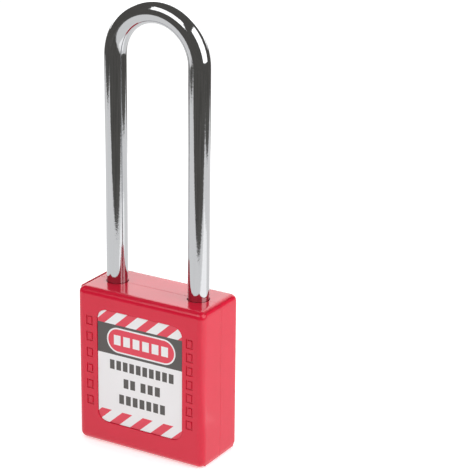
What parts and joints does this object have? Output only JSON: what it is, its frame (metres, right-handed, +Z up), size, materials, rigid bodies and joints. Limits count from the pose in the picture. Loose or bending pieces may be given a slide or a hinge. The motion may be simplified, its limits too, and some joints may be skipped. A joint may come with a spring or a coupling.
{
  "type": "keyed safety padlock",
  "caption": "Long-shackle keyed padlock with a two-part moulded case, printed label plates, pin-tumbler cylinder, cam and ball locking.",
  "frame": {"origin": "middle of the base of the case", "axes": "+X along the case's width towards the toe leg, -Y out of the label face shown as the front, +Z up along the shackle's legs"},
  "size_m": [0.041, 0.019, 0.127],
  "materials": {
    "case": "glossy moulded nylon",
    "label": "satin printed vinyl",
    "bar": "bright chrome plate on hardened steel",
    "zinc": "as-cast zinc alloy",
    "brass": "turned and broached brass",
    "steel": "sintered and stamped steel",
    "bearing": "ground bearing steel",
    "spring": "drawn stainless spring wire"
  },
  "bodies": {
    "case": {"front_shell": "case", "rear_shell": "case", "front_label": "label", "rear_label": "label", "lock_housing": "zinc", "chamber_strip": "brass", "cam_plate": "steel", "shackle_spring": "spring", "driver_pin_1": "brass", "pin_spring_1": "spring", "driver_pin_2": "brass", "pin_spring_2": "spring", "driver_pin_3": "brass", "pin_spring_3": "spring", "driver_pin_4": "brass", "pin_spring_4": "spring", "driver_pin_5": "brass", "pin_spring_5": "spring", "driver_pin_6": "brass", "pin_spring_6": "spring"},
    "shackle": {"shackle": "bar"},
    "plug": {"plug": "brass", "plug_clip": "steel", "cam": "steel", "key_pin_1": "brass", "key_pin_2": "brass", "key_pin_3": "brass", "key_pin_4": "brass", "key_pin_5": "brass", "key_pin_6": "brass"},
    "heel_ball": {"heel_ball": "bearing"},
    "toe_ball": {"toe_ball": "bearing"}
  },
  "joints": [
    {"name": "shackle_lift", "type": "slide", "parent": "case", "child": "shackle", "axis": [0, 0, 1], "range_m": [0, 0.0155], "deforming": ["shackle_spring"]},
    {"name": "key_turn", "type": "hinge", "parent": "case", "child": "plug", "pos_m": [0, 0, 0.0004], "axis": [0, 0, 1], "range_deg": [-90, 0]},
    {"name": "heel_ball_slide", "type": "slide", "parent": "case", "child": "heel_ball", "axis": [-1, 0, 0], "range_m": [0, 0.0007]},
    {"name": "toe_ball_slide", "type": "slide", "parent": "case", "child": "toe_ball", "axis": [1, 0, 0], "range_m": [0, 0.0016]}
  ],
  "couplings": [
    {"joint": "heel_ball_slide", "follows": "key_turn", "m_per_rad": -0.00044563},
    {"joint": "toe_ball_slide", "follows": "key_turn", "m_per_rad": -0.0010186}
  ]
}
